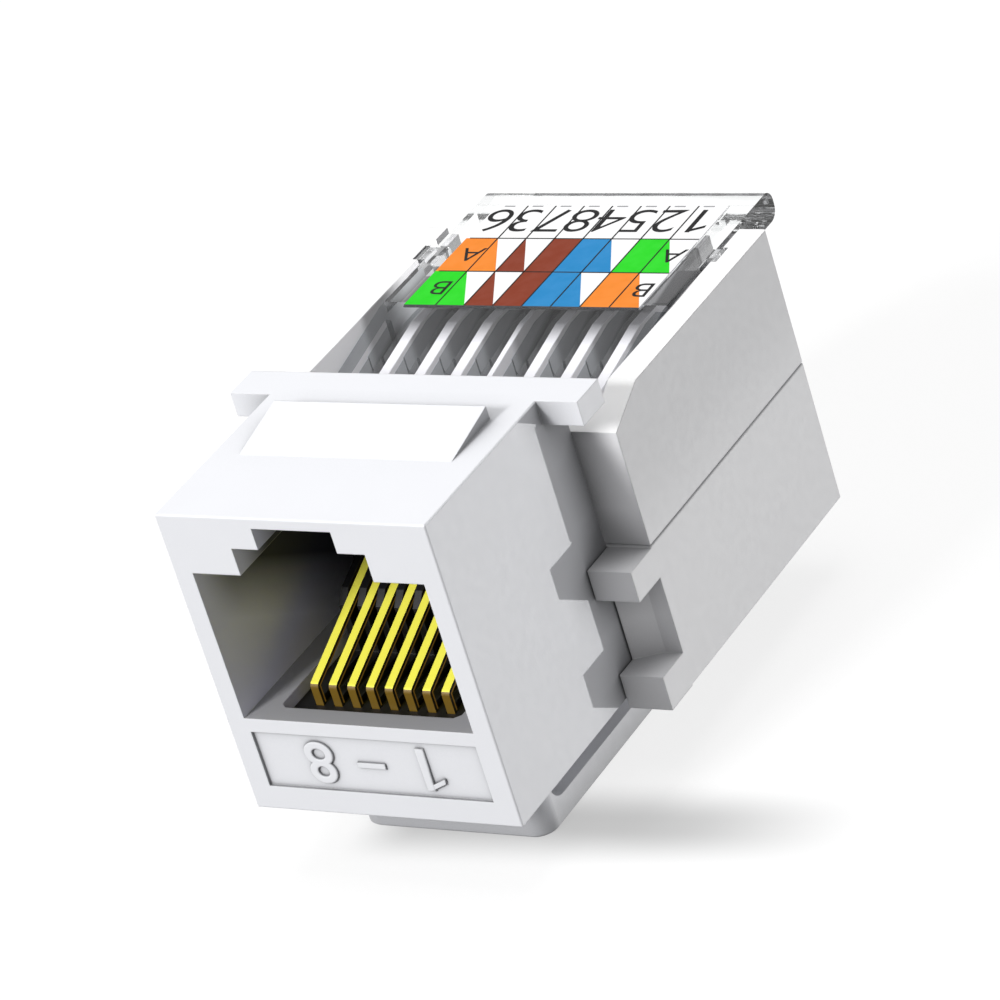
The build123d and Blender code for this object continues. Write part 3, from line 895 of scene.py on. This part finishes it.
def makeFloor():
    half = floorLook["size"] / 2
    mesh = bmesh.new()
    corners = ((-half, -half), (half, -half), (half, half), (-half, half))
    mesh.faces.new([mesh.verts.new((x, y, 0)) for x, y in corners])
    data = bpy.data.meshes.new("floor")
    mesh.to_mesh(data)
    mesh.free()
    floor = bpy.data.objects.new("floor", data)
    bpy.context.scene.collection.objects.link(floor)
    material, tree, shader = newMaterial("paleFloor")
    grain = useGroup(tree, mouldGrain, {"Size": floorLook["grain"]})
    surface = blendColour(tree, grain["Tone"], shade(*floorLook["colour"]), shade(*floorLook["drift"]))
    shader.inputs["Specular IOR Level"].default_value = 0.0
    shadeMask = placeFloorShade(tree)
    surface = blendColour(tree, shadeMask, surface, shade(*floorLook["shade"]["colour"]))
    seen = seenDirectly(tree)
    tree.links.new(blendColour(tree, seen, shade(*floorLook["bounce"]), surface), shader.inputs["Base Color"])
    shader.inputs["Roughness"].default_value = 1.0
    lit = ramp(tree, shadeMask, 0.0, 1.0, floorLook["glow"], floorLook["shade"]["glow"], "LINEAR")
    glow = maths(tree, "MULTIPLY", seen, lit)
    shader.inputs["Emission Color"].default_value = (1, 1, 1, 1)
    tree.links.new(glow, shader.inputs["Emission Strength"])
    data.materials.append(material)
    floor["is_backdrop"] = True


worldLook = {"level": 0.41}


def makeWorld():
    world = bpy.data.worlds.new("studio")
    bpy.context.scene.world = world
    world.use_nodes = True
    tree = world.node_tree
    background = tree.nodes["Background"]
    background.inputs["Color"].default_value = (1, 1, 1, 1)
    level = ramp(tree, seenDirectly(tree), 0.0, 1.0, worldLook["level"], 1.0, "LINEAR")
    tree.links.new(level, background.inputs["Strength"])


softLamps = {
    "overhead": {"place": (0.02, 0.1, 0.55), "size": 0.35, "power": 1.0},
    "front": {"place": (-0.15, -0.44, 0.30), "size": 0.12, "power": 2.3},
}
lowLamp = {"travel": (-2.4, -2.5, 1.7), "strength": 1.02, "angle": math.radians(1.0)}


def aimAlong(lamp, direction):
    lamp.rotation_mode = "QUATERNION"
    lamp.rotation_quaternion = Vector(direction).to_track_quat("-Z", "Y")


def makeLamps():
    target = (cadBox[0] + cadBox[1]) / 2
    for name, look in softLamps.items():
        light = bpy.data.lights.new(name, "AREA")
        light.size = look["size"]
        light.energy = look["power"]
        lamp = bpy.data.objects.new(name, light)
        lamp.location = look["place"]
        aimAlong(lamp, target - Vector(look["place"]))
        bpy.context.scene.collection.objects.link(lamp)
    light = bpy.data.lights.new("lowRear", "SUN")
    light.energy = lowLamp["strength"]
    light.angle = lowLamp["angle"]
    lamp = bpy.data.objects.new("lowRear", light)
    aimAlong(lamp, lowLamp["travel"])
    bpy.context.scene.collection.objects.link(lamp)
    # The low lamp stands below floor level, so only the jack's own pieces hold its light back
    jackOnly = bpy.data.collections.new("jackOnly")
    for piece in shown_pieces():
        jackOnly.objects.link(piece)
    lamp.light_linking.blocker_collection = jackOnly


makeFloor()
makeWorld()
makeLamps()
print("floor, world and lamps placed")

# Camera, from the photograph's perspective
cameraView = {
    "place": (130.92 * mm, -170.43 * mm, 124.35 * mm),
    "azimuth": 37.705,
    "elevation": 27.835,
    "roll": -17.679,
    "lens": 186.945,
    "sensor": 36.0,
    "clip": (0.01, 20.0),
}


def makeCamera():
    data = bpy.data.cameras.new("camera")
    data.sensor_width = cameraView["sensor"]
    data.lens = cameraView["lens"]
    data.clip_start, data.clip_end = cameraView["clip"]
    camera = bpy.data.objects.new("camera", data)
    azimuth, elevation, roll = (math.radians(cameraView[k]) for k in ("azimuth", "elevation", "roll"))
    level = Vector((math.cos(azimuth), math.sin(azimuth), 0))
    outward = math.cos(elevation)
    back = Vector((math.sin(azimuth) * outward, -math.cos(azimuth) * outward, math.sin(elevation)))
    upright = back.cross(level)
    right = level * math.cos(roll) + upright * math.sin(roll)
    up = back.cross(right)
    turn = Matrix((right, up, back)).transposed().to_4x4()
    camera.matrix_world = Matrix.Translation(cameraView["place"]) @ turn
    bpy.context.scene.collection.objects.link(camera)
    bpy.context.scene.camera = camera


makeCamera()
print("camera placed")
